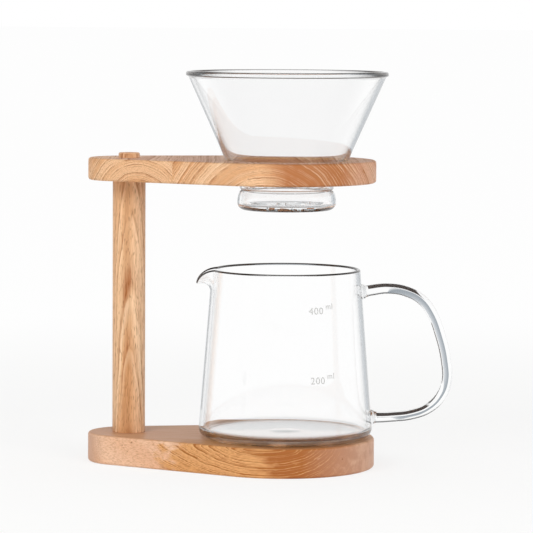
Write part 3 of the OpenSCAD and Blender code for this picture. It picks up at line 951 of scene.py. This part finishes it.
# less white near the object, so that its shadow shows
def makeFloor(look):
    deselect()
    bpy.ops.mesh.primitive_plane_add(size=look["floorSize"])
    floor = bpy.context.object
    floor.name = "floor"
    material, tree = newMaterial("paintedFloor")
    matt = addNode(tree, "BsdfDiffuse", {"Color": linear(look["floor"])})
    glow = addNode(tree, "Emission", {"Color": (1, 1, 1, 1), "Strength": 1.0})
    seen, behindGlass = backgroundRays(tree)
    coordinates = addNode(tree, "TexCoord")
    away = addNode(tree, "VectorMath", {"operation": "LENGTH"}, {0: coordinates.outputs["Object"]})
    fade = addNode(tree, "MapRange",
                   {"interpolation_type": "SMOOTHSTEP", "From Min": look["glowStart"],
                    "From Max": look["glowEnd"], "To Min": look["glowNear"], "To Max": look["glowFar"]},
                   {"Value": away.outputs["Value"]})
    even = addNode(tree, "Math", {"operation": "MAXIMUM"}, {0: fade.outputs[0], 1: behindGlass})
    amount = addNode(tree, "Math", {"operation": "MULTIPLY"}, {0: seen, 1: even.outputs[0]})
    both = addNode(tree, "MixShader",
                   links={0: amount.outputs[0], 1: matt.outputs[0], 2: glow.outputs[0]})
    addNode(tree, "OutputMaterial", links={"Surface": both.outputs[0]})
    floor.data.materials.append(material)


# white round the horizon, with a darker ceiling that glass picks up in its edges
def makeWorld(look):
    world = bpy.data.worlds.new("studio")
    world.use_nodes = True
    tree = world.node_tree
    tree.nodes.clear()
    direction = addNode(tree, "TexCoord")
    parts = addNode(tree, "SeparateXYZ", links={0: direction.outputs["Generated"]})
    level = addNode(tree, "MapRange",
                    {"From Min": look["ceilingFrom"], "From Max": look["ceilingTo"], "To Min": 1.0,
                     "To Max": look["zenith"]}, {"Value": parts.outputs["Z"]})
    soft = addNode(tree, "Background", {"Color": (1, 1, 1, 1), "Strength": look["ambient"]})
    white = addNode(tree, "Background", {"Color": (1, 1, 1, 1)}, {"Strength": level.outputs[0]})
    seen = backgroundRays(tree)[0]
    both = addNode(tree, "MixShader", links={0: seen, 1: soft.outputs[0], 2: white.outputs[0]})
    addNode(tree, "OutputWorld", links={"Surface": both.outputs[0]})
    bpy.context.scene.world = world


lamps = {
    "keyLeft": {"place": (-0.75, -1.55, 1.3), "size": 1.0, "watts": 14.5},
    "fillRight": {"place": (1.25, -1.2, 0.85), "size": 1.0, "watts": 13.0},
    "topSoft": {"place": (0.0, 0.3, 2.0), "size": 1.5, "watts": 4.0},
}
lampAim = Vector((-0.02, 0, 0.1))


# the lamps are too small to look like soft boxes in the glass, so it doesn't mirror them
def makeLamps():
    for name, settings in lamps.items():
        data = bpy.data.lights.new(name, "AREA")
        data.size = settings["size"]
        data.energy = settings["watts"]
        lamp = bpy.data.objects.new(name, data)
        bpy.context.scene.collection.objects.link(lamp)
        lamp.location = settings["place"]
        lamp.rotation_euler = (lampAim - Vector(settings["place"])).to_track_quat("-Z", "Y").to_euler()
        lamp.visible_glossy = False
        lamp.visible_transmission = False


# Dark cards behind the glass that paint shade into it: each glows in its own tone and shows only to light
# that one thickness of glass has bent. Places and sizes are in mm, tones go from left to right. "from" is a
# point on the line of glass that a card stands behind, "across" the axes that its distance is measured on,
# and "slack" how much shorter or longer the light's way may be. Light that falls more steeply than a card's
# slats goes through it.
cards = {
    "floorCard": {"place": (54, 81, 1), "size": (66, 79), "tones": ("#3A302C", "#3A302C")},
    "sideFloor": {"place": (143, 49, 1), "size": (100, 80), "tones": ("#45403C", "#45403C")},
    "backFloor": {"place": (24.3, 228, 1), "size": (66, 222), "tones": ("#3A302C", "#3A302C"),
                  "from": (0, 13, 103), "across": (0, 1, 1), "slack": (-16, 16)},
    "rightCard": {"place": (100, 224, 7), "size": (155, 4), "slats": 310, "tones": ("#8E979F", "#E2E6EA"),
                  "from": (88, 19.5, 0), "across": (1, 1, 0), "slack": (-10, 50)},
    "leftCard": {"place": (-122, 179, 7), "size": (68, 4), "slats": 310, "tones": ("#98A0A8", "#525B64"),
                 "from": (-44, -9, 0), "across": (1, 1, 0), "slack": (-6, 50)},
    "sideCard": {"place": (182, 107, 7), "size": (114, 4), "slats": 140, "tones": ("#45403C", "#45403C"),
                 "turn": 270, "from": (88, 19.5, 0), "across": (1, 1, 0), "slack": (-12, 20)},
}
slatSizes = {"fall": 24.0, "step": 0.74}
cardFade = 0.06  # share of a card's width that its soft edge takes
oneThickness = 2.5  # light has gone into and out of one thickness of glass, and no more


# 1 where the light's way from the glass to the card is too short or too long
def wrongLength(tree, place, rayLength, card):
    apart = addNode(tree, "VectorMath", {"operation": "SUBTRACT", 1: Vector(card["from"]) * mm},
                    {0: place})
    flat = addNode(tree, "VectorMath", {"operation": "MULTIPLY", 1: card["across"]},
                   {0: apart.outputs[0]})
    reach = addNode(tree, "VectorMath", {"operation": "LENGTH"}, {0: flat.outputs[0]})
    extra = addNode(tree, "Math", {"operation": "SUBTRACT"}, {0: rayLength, 1: reach.outputs["Value"]})
    shortest, longest = [slack * mm for slack in card["slack"]]
    tooShort = addNode(tree, "Math", {"operation": "LESS_THAN", 1: shortest}, {0: extra.outputs[0]})
    tooLong = addNode(tree, "Math", {"operation": "GREATER_THAN", 1: longest}, {0: extra.outputs[0]})
    either = addNode(tree, "Math", {"operation": "MAXIMUM"},
                     {0: tooShort.outputs[0], 1: tooLong.outputs[0]})
    return either.outputs[0]


def cardShadePaint(name, card):
    material, tree = newMaterial(name)
    coordinates = addNode(tree, "TexCoord")
    parts = addNode(tree, "SeparateXYZ", links={0: coordinates.outputs["Object"]})
    along = addNode(tree, "Math", {"operation": "DIVIDE", 1: card["size"][0] * mm},
                    {0: parts.outputs[0]})
    share = addNode(tree, "Math", {"operation": "ADD", 1: 0.5}, {0: along.outputs[0]})
    tone = mixColours(tree, *card["tones"], share.outputs[0])
    outward = addNode(tree, "Math", {"operation": "ABSOLUTE"}, {0: along.outputs[0]})
    border = addNode(tree, "MapRange", {"From Min": 0.5 - cardFade, "From Max": 0.5},
                     {"Value": outward.outputs[0]})
    rays = addNode(tree, "LightPath")
    deep = addNode(tree, "Math", {"operation": "GREATER_THAN", 1: oneThickness},
                   {0: rays.outputs["Transmission Depth"]})
    side = addNode(tree, "NewGeometry")
    reasons = [deep.outputs[0], side.outputs["Backfacing"]]
    if "from" in card:
        reasons.append(wrongLength(tree, side.outputs["Position"], rays.outputs["Ray Length"], card))
    hidden = border
    for reason in reasons:
        hidden = addNode(tree, "Math", {"operation": "MAXIMUM"}, {0: hidden.outputs[0], 1: reason})
    # the card glows in its own tone: painted shade seen in the glass
    dark = addNode(tree, "Emission", {"Strength": 1.0}, {"Color": tone})
    clear = addNode(tree, "BsdfTransparent")
    both = addNode(tree, "MixShader",
                   links={0: hidden.outputs[0], 1: dark.outputs[0], 2: clear.outputs[0]})
    addNode(tree, "OutputMaterial", links={"Surface": both.outputs[0]})
    return material


def makeCards():
    for name, settings in cards.items():
        deselect()
        bpy.ops.mesh.primitive_plane_add(size=1.0)
        card = bpy.context.object
        card.name = name
        card.scale = (settings["size"][0] * mm, settings["size"][1] * mm, 1)
        if "slats" in settings:
            card.rotation_euler = (math.radians(180 - slatSizes["fall"]), 0, 0)
        bpy.ops.object.transform_apply()
        if "slats" in settings:
            applyModifier(card, "ARRAY", count=settings["slats"], use_relative_offset=False,
                          use_constant_offset=True, constant_offset_displace=(0, 0, slatSizes["step"] * mm))
        card.location = Vector(settings["place"]) * mm
        card.rotation_euler = (0, 0, math.radians(cameraSizes["azimuth"] + settings.get("turn", 0)))
        card.visible_camera = False
        card.visible_diffuse = False
        card.visible_glossy = False
        card.visible_shadow = False
        card.data.materials.append(cardShadePaint(name, settings))


makeCamera(cameraSizes)
makeFloor(stageLook)
makeWorld(stageLook)
makeLamps()
makeCards()
bpy.context.scene.view_settings.view_transform = "Standard"
print("stage: camera, floor, world,", len(lamps), "lamps and", len(cards), "cards")
